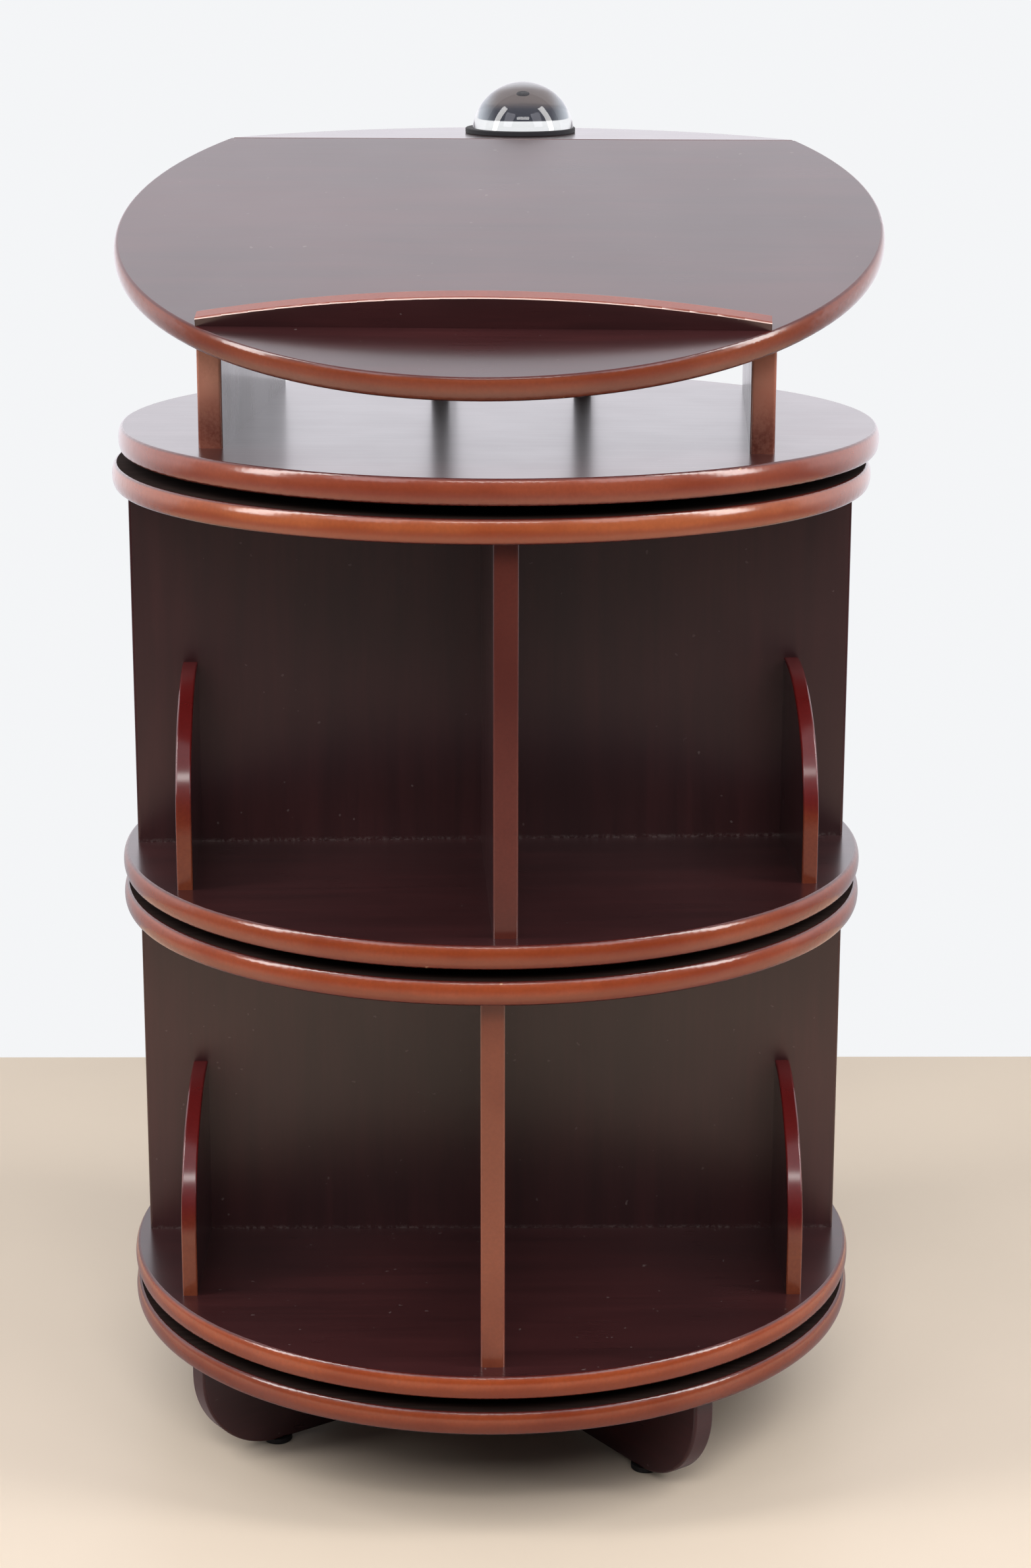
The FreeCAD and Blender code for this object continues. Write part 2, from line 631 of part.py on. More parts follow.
def on_bearing(shape):
    """A shape modelled about the lectern's own middle, set beside the turning axis and turned."""
    return spun(moved(shape, LECTERN_OFFSET, 0, 0), LECTERN_ANGLE)


def turntable_board():
    """The lectern's floor; the holes for its bearing stand round the turning axis."""
    board = round_board(TURNTABLE_BOTTOM, TURNTABLE_THICKNESS)
    board = drilled(board, screws_at(riser_screw_places(), PANEL_SCREW_LENGTH, FASTENER_CLEARANCE))
    holes = inner_ring_screws(TURNTABLE_BOTTOM - TIER_BEARING_HEIGHT, FASTENER_CLEARANCE)
    return drilled(on_bearing(board), [spun(hole, LECTERN_ANGLE) for hole in holes])


def save_lectern():
    upright_holes = screws_at(riser_screw_places(), PANEL_SCREW_LENGTH, FASTENER_CLEARANCE)
    upright_holes += book_dowels(FASTENER_CLEARANCE) + rear_dowels(FASTENER_CLEARANCE)
    book_holes = book_dowels(FASTENER_CLEARANCE) + lip_screws(FASTENER_CLEARANCE)
    pieces = {
        "riser_left": drilled(riser(-1), upright_holes),
        "riser_right": drilled(riser(1), upright_holes),
        "rear_partition_left": drilled(rear_partition(-1), upright_holes),
        "rear_partition_right": drilled(rear_partition(1), upright_holes),
        "book_board": drilled(book_board(), book_holes),
        "rear_board": drilled(rear_board(), rear_dowels(FASTENER_CLEARANCE)),
        "book_lip": drilled(book_lip(), lip_screws(FASTENER_CLEARANCE)),
        "riser_screws": Part.makeCompound(screws_at(riser_screw_places(), PANEL_SCREW_LENGTH)),
        "lip_screws": Part.makeCompound(lip_screws(0)),
        "book_board_dowels": Part.makeCompound(book_dowels(0)),
        "rear_board_dowels": Part.makeCompound(rear_dowels(0)),
    }
    save("turntable_board", turntable_board())
    for name, shape in pieces.items():
        save(name, on_bearing(shape))


# ---------------------------------------------------------------- glass dome
def on_rear_board(shape):
    """A shape modelled on the Z axis, set down on the rear board."""
    return on_bearing(laid(moved(shape, DOME_SIDE, DOME_SETBACK, 0), REAR_TILT))


def dome_glass():
    """A cap of a ball, a little less than half of it, with a fine bevel round its foot."""
    foot = FELT_THICKNESS
    crown = foot + DOME_HEIGHT
    centre = crown - DOME_RADIUS
    bevel_top = foot + DOME_EDGE
    foot_radius = math.sqrt(DOME_RADIUS ** 2 - (foot - centre) ** 2)
    bevel_radius = math.sqrt(DOME_RADIUS ** 2 - (bevel_top - centre) ** 2)
    reach = DOME_RADIUS * math.sqrt(0.5)
    shoulder = vec(bevel_radius, 0, bevel_top)
    edges = [Part.makeLine(vec(0, 0, foot), vec(foot_radius - DOME_EDGE, 0, foot))]
    edges.append(Part.makeLine(vec(foot_radius - DOME_EDGE, 0, foot), shoulder))
    edges.append(Part.Arc(shoulder, vec(reach, 0, centre + reach), vec(0, 0, crown)).toShape())
    edges.append(Part.makeLine(vec(0, 0, crown), vec(0, 0, foot)))
    return revolved(edges)


def dome_felt():
    """The thick felt disc under the glass, a little wider than it and glued on off centre."""
    return Part.makeCylinder(DOME_RADIUS + FELT_OVERHANG, FELT_THICKNESS, vec(FELT_SHIFT, 0, 0))


def save_dome():
    save("dome_glass", on_rear_board(dome_glass()))
    save("dome_felt", on_rear_board(dome_felt()))


# ---------------------------------------------------------------- the whole tower
os.makedirs("parts", exist_ok=True)
save_base()
save_bearing("base", BASE_TOP, BASE_BEARING_HEIGHT, FOOT_ANGLE, LOWER_TIER_ANGLE)
save_tier("lower", LOWER_TIER_BOTTOM, BASE_BEARING_HEIGHT, LOWER_TIER_ANGLE)
save_bearing("middle", LOWER_TIER_TOP, TIER_BEARING_HEIGHT, LOWER_TIER_ANGLE, UPPER_TIER_ANGLE)
save_tier("upper", UPPER_TIER_BOTTOM, TIER_BEARING_HEIGHT, UPPER_TIER_ANGLE)
save_bearing("top", UPPER_TIER_TOP, TIER_BEARING_HEIGHT, UPPER_TIER_ANGLE, LECTERN_ANGLE)
save_lectern()
save_dome()
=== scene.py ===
import json
import math

import bmesh
import bpy
from mathutils import Matrix, Vector


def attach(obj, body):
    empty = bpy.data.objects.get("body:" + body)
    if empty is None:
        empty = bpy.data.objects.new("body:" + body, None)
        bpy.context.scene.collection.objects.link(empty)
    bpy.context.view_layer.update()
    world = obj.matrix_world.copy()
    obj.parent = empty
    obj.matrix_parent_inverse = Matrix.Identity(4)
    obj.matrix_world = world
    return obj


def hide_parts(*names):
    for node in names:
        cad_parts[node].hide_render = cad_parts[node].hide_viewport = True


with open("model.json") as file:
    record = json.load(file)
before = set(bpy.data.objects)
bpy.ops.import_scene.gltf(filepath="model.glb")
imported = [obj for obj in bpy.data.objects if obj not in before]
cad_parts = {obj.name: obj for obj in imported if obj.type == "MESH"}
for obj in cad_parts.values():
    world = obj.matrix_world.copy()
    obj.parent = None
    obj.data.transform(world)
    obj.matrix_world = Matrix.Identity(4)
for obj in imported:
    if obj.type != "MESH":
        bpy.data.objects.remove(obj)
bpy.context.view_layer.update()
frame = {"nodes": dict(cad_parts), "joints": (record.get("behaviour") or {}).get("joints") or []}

# Looks for the rotating media tower, in metres, in the CAD model's own frame. Colours are linear.
scene = bpy.context.scene
UP = Vector((0, 0, 1))

# ---------------------------------------------------------------- camera
CAMERA_PLACE = Vector((0.0, -2.13299, 1.01375))
CAMERA_YAW = math.radians(0.4535)
CAMERA_PITCH = math.radians(14.7134)
CAMERA_ROLL = math.radians(0.1106)
CAMERA_LENS = 71.447
CAMERA_REACH = (0.05, 60.0)


def make_camera():
    ahead = Vector((math.sin(CAMERA_YAW) * math.cos(CAMERA_PITCH),
                    math.cos(CAMERA_YAW) * math.cos(CAMERA_PITCH), -math.sin(CAMERA_PITCH)))
    level = Vector((math.cos(CAMERA_YAW), -math.sin(CAMERA_YAW), 0.0))
    up = level.cross(ahead)
    side = level * math.cos(CAMERA_ROLL) + up * math.sin(CAMERA_ROLL)
    top = side.cross(ahead)
    data = bpy.data.cameras.new("camera")
    data.lens = CAMERA_LENS
    data.clip_start, data.clip_end = CAMERA_REACH
    camera = bpy.data.objects.new("camera", data)
    axes = Matrix((side, top, -ahead)).transposed().to_4x4()
    camera.matrix_world = Matrix.Translation(CAMERA_PLACE) @ axes
    scene.collection.objects.link(camera)
    scene.camera = camera


make_camera()

# ---------------------------------------------------------------- material graphs
NOISE_REACH = (0.3, 0.7)


class Graph:
    """A node tree with short calls for the nodes that the materials use."""

    def __init__(self, owner):
        owner.use_nodes = True
        self.tree = owner.node_tree
        self.tree.nodes.clear()

    def add(self, kind, inputs=None, **settings):
        node = self.tree.nodes.new("ShaderNode" + kind)
        for name, value in settings.items():
            setattr(node, name, value)
        for name, value in (inputs or {}).items():
            self.feed(node.inputs[name], value)
        return node

    def feed(self, socket, value):
        if isinstance(value, bpy.types.NodeSocket):
            self.tree.links.new(value, socket)
        elif isinstance(value, (tuple, list)) and socket.type == "RGBA" and len(value) == 3:
            socket.default_value = (*value, 1.0)
        else:
            socket.default_value = value

    def place(self):
        return self.add("TexCoord").outputs["Object"]

    def ray(self, kind):
        """1 for a ray of that kind, such as Glossy, else 0."""
        return self.add("LightPath").outputs["Is " + kind + " Ray"]

    def math(self, operation, *values):
        node = self.add("Math", operation=operation)
        for socket, value in zip(node.inputs, values):
            self.feed(socket, value)
        return node.outputs[0]

    def distance(self, value, middle):
        return self.math("ABSOLUTE", self.math("SUBTRACT", value, middle))

    def dot(self, vector, axis):
        return self.add("VectorMath", {0: vector, 1: tuple(axis)}, operation="DOT_PRODUCT").outputs["Value"]

    def joined(self, x, y, z):
        return self.add("CombineXYZ", {"X": x, "Y": y, "Z": z}).outputs[0]

    def split(self, vector):
        return self.add("SeparateXYZ", {0: vector}).outputs

    def noise(self, vector, scale, detail=2.0, roughness=0.5, distortion=0.0):
        """Noise with this many features per metre: one number, or one for each direction."""
        if isinstance(scale, tuple):
            stretched = self.add("VectorMath", {0: vector, 1: scale}, operation="MULTIPLY")
            vector, scale = stretched.outputs["Vector"], 1.0
        node = self.add("TexNoise", {"Vector": vector, "Scale": scale, "Detail": detail,
                                     "Roughness": roughness, "Distortion": distortion})
        return node.outputs["Fac"]

    def range(self, value, low, high, to_low=0.0, to_high=1.0, kind="SMOOTHSTEP"):
        node = self.add("MapRange", {"Value": value, "From Min": low, "From Max": high,
                                     "To Min": to_low, "To Max": to_high}, interpolation_type=kind)
        return node.outputs["Result"]

    def vary(self, noise, low=0.0, high=1.0):
        """The usual reach of a noise, spread from the low number to the high one."""
        return self.range(noise, *NOISE_REACH, low, high)

    def mix(self, share, first, second):
        """Between two colours."""
        node = self.add("Mix", data_type="RGBA")
        self.feed(node.inputs["Factor"], share)
        colours = [socket for socket in node.inputs if socket.type == "RGBA"]
        self.feed(colours[0], first)
        self.feed(colours[1], second)
        return next(socket for socket in node.outputs if socket.type == "RGBA")

    def blend(self, share, first, second):
        """Between two numbers."""
        return self.add("Mix", {0: share, 2: first, 3: second}, data_type="FLOAT").outputs[0]

    def bump(self, height, strength, distance):
        inputs = {"Height": height, "Strength": strength, "Distance": distance}
        return self.add("Bump", inputs).outputs["Normal"]

    def surface(self, **inputs):
        named = {name.replace("_", " "): value for name, value in inputs.items()}
        self.output("OutputMaterial", self.add("BsdfPrincipled", named))

    def output(self, kind, shader):
        self.tree.links.new(shader.outputs[0], self.add(kind).inputs["Surface"])


def new_graph(name):
    material = bpy.data.materials.new(name)
    return material, Graph(material)


def shade(colour, share):
    return tuple(share * c for c in colour)


# ---------------------------------------------------------------- stained wood
LACQUER_IOR = 1.5
LACQUER_RELIEF = 0.00002
DUST = (0.30, 0.25, 0.24)

FACE_DARK = (0.025, 0.0065, 0.0072)
FACE_LIGHT = (0.045, 0.0113, 0.0120)
FACE_GLOSS = 0.27
FACE_COAT_GLOSS = 0.20
FACE_GLOSS_DRIFT = 0.04
CLOUD_SCALE = 6.0
FIGURE_SCALE = (4.0, 48.0, 48.0)
STREAK_SCALE = (14.0, 340.0, 340.0)
PATCH_SCALE = 14.0
FIGURE_SHARE = 0.5
TONE_BAND = (0.36, 0.66)
STREAK_BAND = (0.32, 0.68)
STREAK_SHARE = 0.16
STREAK_SHADE = 0.45
STREAK_GLOSS = 0.02
STREAK_BUMP = 0.05
JOINT_DUST_BAND = (0.0005, 0.0035)
JOINT_DUST_SHARE = 0.22
GRIT_SCALE = 420.0
GRIT_BAND = (0.42, 0.66)
SPECK_SCALE = 190.0
SPECK_BAND = (0.775, 0.80)
SPECK_SHARE = 0.20


def grain_place(g, along, square, seed):
    """The place in the piece's own directions: along its grain, across it and square to its faces."""
    along, square = Vector(along).normalized(), Vector(square).normalized()
    place = g.place()
    u, v, w = (g.dot(place, axis) for axis in (along, square.cross(along), square))
    return place, g.joined(g.math("ADD", u, seed), v, w)


def face_wood(name, along, square, seed=0.0, gloss=FACE_GLOSS, coat_gloss=FACE_COAT_GLOSS, coat=1.0,
              dust_level=None):
    """Dark mahogany stain under satin lacquer, with a faint grain, and dust in a joint at the dust level."""
    material, g = new_graph(name)
    place, own = grain_place(g, along, square, seed)
    cloud = g.noise(own, CLOUD_SCALE)
    figure = g.noise(own, FIGURE_SCALE, detail=4.0, roughness=0.6, distortion=0.4)
    streak = g.noise(own, STREAK_SCALE, detail=3.0, roughness=0.6)
    colour = g.mix(g.range(g.blend(FIGURE_SHARE, cloud, figure), *TONE_BAND), FACE_DARK, FACE_LIGHT)
    colour = g.mix(g.range(streak, *STREAK_BAND, STREAK_SHARE, 0.0), colour, shade(FACE_DARK, STREAK_SHADE))
    if dust_level is not None:
        near = g.distance(g.dot(place, UP), dust_level)
        grit = g.range(g.noise(place, GRIT_SCALE, detail=3.0, roughness=0.7), *GRIT_BAND)
        lies = g.math("MULTIPLY", g.range(near, *JOINT_DUST_BAND, JOINT_DUST_SHARE, 0.0), grit)
        colour = g.mix(lies, colour, DUST)
    speck = g.range(g.noise(place, SPECK_SCALE, detail=1.0), *SPECK_BAND, 0.0, SPECK_SHARE)
    colour = g.mix(speck, colour, DUST)
    worn = g.vary(g.noise(own, PATCH_SCALE), gloss, gloss + FACE_GLOSS_DRIFT)
    g.surface(Base_Color=colour, Roughness=g.math("ADD", worn, g.vary(streak, 0.0, STREAK_GLOSS)),
              IOR=LACQUER_IOR, Normal=g.bump(streak, STREAK_BUMP, LACQUER_RELIEF),
              Coat_Weight=coat, Coat_Roughness=coat_gloss, Coat_IOR=LACQUER_IOR)
    return material


UNFINISHED = (0.020, 0.011, 0.009)
UNFINISHED_SHADE = 0.6
UNFINISHED_SCALE = (20.0, 300.0, 300.0)
UNFINISHED_GLOSS = (0.85, 0.95)
UNFINISHED_SPECULAR = 0.1


def inner_wood():
    """The faces that the bearings are screwed to: stained, without lacquer."""
    material, g = new_graph("inner_wood")
    fibre = g.noise(g.place(), UNFINISHED_SCALE, detail=4.0, roughness=0.6)
    tone = g.mix(g.vary(fibre), UNFINISHED, shade(UNFINISHED, UNFINISHED_SHADE))
    g.surface(Base_Color=tone, Roughness=g.vary(fibre, *UNFINISHED_GLOSS),
              Specular_IOR_Level=UNFINISHED_SPECULAR)
    return material


# Painted shade: a dark colour drawn along both arrises of an edge, in the band of distance from its middle
# given below.
ARRIS_PAINTED_SHADE = (0.060, 0.008, 0.006)
ARRIS_SHADE_BAND = (0.38, 0.49)
EDGE_STEPS = (0.30, 0.70)
EDGE_GLOSS = 0.13
EDGE_GLOSS_DRIFT = 0.04
EDGE_SPECULAR = 0.2
EDGE_COAT_GLOSS = 0.18
EDGE_BUMP = 0.06
DRIFT_SCALE = 9.0
DRIFT_SHIFT = 0.10
RED_SHIFT = (0.66, 0.46, 0.42)
RED_BAND = (0.34, 0.60)
RED_SHARE = 0.60
PORE_SCALE = 420.0
PORE_SHARE = 0.22
PORE_SHADE = 0.5
BARE_WOOD = (0.46, 0.29, 0.17)
NICK_SCALE = (34.0, 34.0, 60.0)
NICK_BAND = (0.72, 0.75)
NICK_REACH = (0.36, 0.47)


def edge_wood(name, axis, reach, low, high, steps=EDGE_STEPS, seed=0.0, nicks=True, gloss=EDGE_GLOSS,
              painted_arris=ARRIS_PAINTED_SHADE, painted_arris_band=ARRIS_SHADE_BAND, coat=1.0):
    """Sprayed toner on an edge: one colour at the low end of the reach along the axis, another at the high
    end, redder clouds between them, a painted arris tone near both ends (dark painted shade by default, a
    pale painted highlight on the lip), and small nicks down to bare wood. On the rims and the risers the end
    colours also carry painted shade and painted light."""
    material, g = new_graph(name)
    place = g.place()
    height = g.range(g.dot(place, axis), *reach, kind="LINEAR")
    off_middle = g.distance(height, 0.5)
    moved = g.add("VectorMath", {0: place, 1: (seed, 0.0, 0.0)}, operation="ADD").outputs["Vector"]
    drift = g.noise(moved, DRIFT_SCALE, detail=3.0, roughness=0.55)
    pores = g.noise(moved, PORE_SCALE, detail=3.0, roughness=0.6)
    wander = g.math("ADD", height, g.vary(drift, -DRIFT_SHIFT, DRIFT_SHIFT))
    colour = g.mix(g.range(wander, *steps), low, high)
    redder = tuple(share * c for share, c in zip(RED_SHIFT, high))
    colour = g.mix(g.range(drift, *RED_BAND, RED_SHARE, 0.0), colour, redder)
    colour = g.mix(g.vary(pores, PORE_SHARE, 0.0), colour, shade(high, PORE_SHADE))
    # Painted arris: dark painted shade by default, a pale painted highlight on the lip.
    if painted_arris:
        colour = g.mix(g.range(off_middle, *painted_arris_band), colour, painted_arris)
    if nicks:
        nick = g.range(g.noise(moved, NICK_SCALE, detail=3.0, roughness=0.75), *NICK_BAND)
        colour = g.mix(g.math("MULTIPLY", nick, g.range(off_middle, *NICK_REACH)), colour, BARE_WOOD)
    g.surface(Base_Color=colour, Roughness=g.vary(drift, gloss, gloss + EDGE_GLOSS_DRIFT), IOR=LACQUER_IOR,
              Specular_IOR_Level=EDGE_SPECULAR, Normal=g.bump(pores, EDGE_BUMP, LACQUER_RELIEF),
              Coat_Weight=coat, Coat_Roughness=EDGE_COAT_GLOSS, Coat_IOR=LACQUER_IOR)
    return material


# ---------------------------------------------------------------- the other materials
METAL_SHADE = 0.8
METAL_GRAIN = 18.0
METAL_BUMP = 0.1
METAL_RELIEF = 0.00002
MATT_BUMP = 0.2
MATT_RELIEF = 0.00005


def metal(name, colour, gloss, scale):
    material, g = new_graph(name)
    place = g.place()
    patch = g.noise(place, scale, detail=4.0, roughness=0.6)
    tone = g.mix(g.vary(patch), shade(colour, METAL_SHADE), colour)
    g.surface(Base_Color=tone, Metallic=1.0, Roughness=g.vary(patch, *gloss),
              Normal=g.bump(g.noise(place, scale * METAL_GRAIN), METAL_BUMP, METAL_RELIEF))
    return material


GLIDE_DARK = (0.010, 0.010, 0.011)
GLIDE_LIGHT = (0.035, 0.034, 0.033)
SCUFF_SCALE = 900.0
SCUFF_BAND = (0.45, 0.75)
SCUFF_GLOSS = (0.38, 0.60)


def glide_plastic():
    material, g = new_graph("glide_plastic")
    scuff = g.noise(g.place(), SCUFF_SCALE, detail=4.0, roughness=0.7)
    tone = g.mix(g.range(scuff, *SCUFF_BAND), GLIDE_DARK, GLIDE_LIGHT)
    g.surface(Base_Color=tone, Roughness=g.vary(scuff, *SCUFF_GLOSS),
              Normal=g.bump(scuff, MATT_BUMP, MATT_RELIEF))
    return material


BEECH_DARK = (0.46, 0.28, 0.15)
BEECH_LIGHT = (0.62, 0.42, 0.26)
FLECK_SCALE = (500.0, 500.0, 60.0)
FLECK_BAND = (0.35, 0.65)
FLECK_GLOSS = (0.50, 0.65)


def beech_wood():
    material, g = new_graph("beech_wood")
    fleck = g.noise(g.place(), FLECK_SCALE, detail=3.0, roughness=0.6)
    tone = g.mix(g.range(fleck, *FLECK_BAND), BEECH_DARK, BEECH_LIGHT)
    g.surface(Base_Color=tone, Roughness=g.vary(fleck, *FLECK_GLOSS),
              Normal=g.bump(fleck, MATT_BUMP, MATT_RELIEF))
    return material


FELT_DARK = (0.005, 0.005, 0.007)
FELT_LIGHT = (0.017, 0.016, 0.020)
FELT_SCALE = (1800.0, 1800.0, 2600.0)
FELT_GLOSS = 0.95
FELT_SHEEN = 0.1
FELT_SHEEN_GLOSS = 0.5
FELT_BUMP = 0.6
FELT_PILE = 0.0002


def felt_cloth():
    material, g = new_graph("felt_cloth")
    fibre = g.noise(g.place(), FELT_SCALE, detail=5.0, roughness=0.75, distortion=1.2)
    g.surface(Base_Color=g.mix(g.vary(fibre), FELT_DARK, FELT_LIGHT), Roughness=FELT_GLOSS,
              Sheen_Weight=FELT_SHEEN, Sheen_Roughness=FELT_SHEEN_GLOSS,
              Normal=g.bump(fibre, FELT_BUMP, FELT_PILE))
    return material


CRYSTAL_CLEAR = (0.985, 0.990, 0.990)
CRYSTAL_SMEARED = (0.950, 0.955, 0.965)
CRYSTAL_IOR = 1.50
SMEAR_SCALE = 60.0
SMEAR_BAND = (0.35, 0.65)
SMEAR_GLOSS_BAND = (0.50, 0.80)
SMEAR_GLOSS = 0.02


def dome_crystal():
    """Clear glass with faint finger marks."""
    material, g = new_graph("dome_crystal")
    smear = g.noise(g.place(), SMEAR_SCALE, detail=3.0, roughness=0.6)
    tone = g.mix(g.range(smear, *SMEAR_BAND), CRYSTAL_CLEAR, CRYSTAL_SMEARED)
    g.surface(Base_Color=tone, Roughness=g.range(smear, *SMEAR_GLOSS_BAND, 0.0, SMEAR_GLOSS),
              IOR=CRYSTAL_IOR, Transmission_Weight=1.0)
    return material


# ---------------------------------------------------------------- directions and reaches of the pieces
# How far each level is turned at rest, in degrees, counter-clockwise from above.
TURNS = {"base": 35.2, "lower": 0.15, "upper": 2.1, "lectern": -3.6}
BOOK_TILT = math.radians(16.9)
REAR_TILT = math.radians(2.0)
FLAT = 0.995


def turned(vector, degrees):
    return Matrix.Rotation(math.radians(degrees), 3, "Z") @ Vector(vector)


def side_and_front(turn):
    return turned((1, 0, 0), turn), turned((0, 1, 0), turn)


def square_to_slope(tilt, turn):
    return turned((0, -math.sin(tilt), math.cos(tilt)), turn)


def span(node, axis):
    """The lowest and the highest place of a node's surface along a direction."""
    reach = [vertex.co.dot(axis) for vertex in frame["nodes"][node].data.vertices]
    return min(reach), max(reach)


def paint(node, face, edge=None, square=UP, inner=None, inner_sign=0):
    """The face material, the edge material on all that doesn't lie square to the direction given, and the
    inner material on the face that looks along it (sign 1) or against it (sign -1)."""
    data = frame["nodes"][node].data
    data.materials.clear()
    for material in (face, edge, inner):
        if material:
            data.materials.append(material)
    if edge:
        for polygon in data.polygons:
            lean = polygon.normal.dot(square)
            polygon.material_index = 2 if lean * inner_sign > FLAT else int(abs(lean) < FLAT)


# ---------------------------------------------------------------- round boards
# Each rim's colour at the bottom and at the top: the stain, darker at the bottom as painted shade and lighter
# at the top as a painted highlight. Then where the board's bearing is: 1 above it, -1 below it, 0 where it
# has none.
BOARDS = {
    "base_board": ((0.155, 0.034, 0.014), (0.205, 0.042, 0.015), 1),
    "lower_shelf_board": ((0.205, 0.044, 0.014), (0.280, 0.058, 0.018), -1),
    "lower_top_board": ((0.178, 0.038, 0.014), (0.250, 0.051, 0.018), 1),
    "upper_shelf_board": ((0.185, 0.038, 0.014), (0.225, 0.045, 0.015), -1),
    "upper_top_board": ((0.228, 0.053, 0.021), (0.310, 0.082, 0.030), 1),
    "turntable_board": ((0.200, 0.047, 0.024), (0.230, 0.054, 0.026), -1),
    "book_board": ((0.155, 0.047, 0.028), (0.190, 0.046, 0.021), 0),
    "rear_board": ((0.155, 0.047, 0.028), (0.190, 0.046, 0.021), 0),
}
RIM_STEPS = (0.35, 0.62)
bare_face = inner_wood()


def paint_round_board(node, side, square=UP, **finish):
    low, high, inner_sign = BOARDS[node]
    seed = sum(span(node, UP))
    face = face_wood(node + "_face", side, square, seed, **finish)
    # The rim's colours carry painted shade at the bottom and on the arrises, and a painted highlight at the
    # top.
    rim = edge_wood(node + "_rim", square, span(node, square), low, high, steps=RIM_STEPS, seed=seed)
    paint(node, face, rim, square, bare_face if inner_sign else None, inner_sign)


# ---------------------------------------------------------------- tiers
DARK_END = (0.034, 0.0075, 0.0075)
DIVIDER_EDGES = {"lower": (0.205, 0.052, 0.025), "upper": (0.095, 0.020, 0.013)}
DIVIDER_SHADE = 0.85
FIN_LOW = (0.170, 0.040, 0.016)
FIN_HIGH = (0.100, 0.008, 0.008)
FIN_STEPS = (0.25, 0.55)
PARTITION_GLOSS = 0.34
PARTITION_COAT_GLOSS = 0.29
END_GLOSS = 0.25
UPRIGHT_EDGE_GLOSS = 0.2
DIVIDER_SEED, FIN_SEED, RISER_SEED, LIP_SEED = 1.0, 2.0, 6.0, 9.0


def paint_tier(tier):
    turn = TURNS[tier]
    side, front = side_and_front(turn)
    paint_round_board(tier + "_shelf_board", side)
    paint_round_board(tier + "_top_board", side)
    reach = span(tier + "_partition", UP)
    face = face_wood(tier + "_partition_face", UP, front, turn, PARTITION_GLOSS, PARTITION_COAT_GLOSS,
                     dust_level=reach[0])
    ends = edge_wood(tier + "_partition_edge", UP, reach, DARK_END, DARK_END, nicks=False, gloss=END_GLOSS,
                     painted_arris=None)
    paint(tier + "_partition", face, ends, front)
    face = face_wood(tier + "_divider_face", UP, side, turn + DIVIDER_SEED, dust_level=reach[0])
    light = DIVIDER_EDGES[tier]
    edge = edge_wood(tier + "_divider_edge", UP, reach, light, shade(light, DIVIDER_SHADE), seed=turn,
                     nicks=False, gloss=UPRIGHT_EDGE_GLOSS, painted_arris=None)
    for place in ("front", "back"):
        paint(tier + "_divider_" + place, face, edge, side)
    reach = span(tier + "_fin_front_left", UP)
    face = face_wood(tier + "_fin_face", UP, side, turn + FIN_SEED, dust_level=reach[0])
    edge = edge_wood(tier + "_fin_edge", UP, reach, FIN_LOW, FIN_HIGH, steps=FIN_STEPS, nicks=False,
                     painted_arris=None)
    for place in ("front_left", "front_right", "back_left", "back_right"):
        paint(tier + "_fin_" + place, face, edge, side)


# ---------------------------------------------------------------- base
# Painted shade: the feet's edges are darkened to stand for the shade they sit in near the floor.
PLANK_EDGE_PAINTED_SHADE = (0.042, 0.010, 0.008)


def paint_base():
    for node, turn in (("foot_plank_lower", TURNS["base"]), ("foot_plank_upper", TURNS["base"] + 90.0)):
        along, square = side_and_front(turn)
        edge = edge_wood(node + "_edge", UP, span(node, UP), PLANK_EDGE_PAINTED_SHADE, DARK_END, seed=turn, gloss=END_GLOSS,
                         painted_arris=None)
        paint(node, face_wood(node + "_face", along, square, turn), edge, square)
    paint_round_board("base_board", turned((1, 0, 0), TURNS["base"]))
    paint("foot_glides", glide_plastic())


# ---------------------------------------------------------------- lectern
TURNTABLE_GLOSS = 0.29
TURNTABLE_COAT_GLOSS = 0.21
RISER_GLOSS = 0.24
RISER_COAT_GLOSS = 0.10
RISER_COAT = 0.3
# The risers' edges are darker towards the foot, and towards the top far paler than the stain: painted light.
RISER_LOW = (0.050, 0.010, 0.007)
RISER_HIGH_PAINTED_LIGHT = (0.560, 0.260, 0.185)
RISER_STEPS = (0.05, 0.45)
LIP_EDGE = (0.215, 0.055, 0.034)
# Painted highlight: a pale line along the lip's front and back arrises, drawn where the lacquer's highlight
# would be.
LIP_PAINTED_HIGHLIGHT = (0.80, 0.60, 0.54)
LIP_HIGHLIGHT_BAND = (0.46, 0.49)
LIP_COAT = 0.5


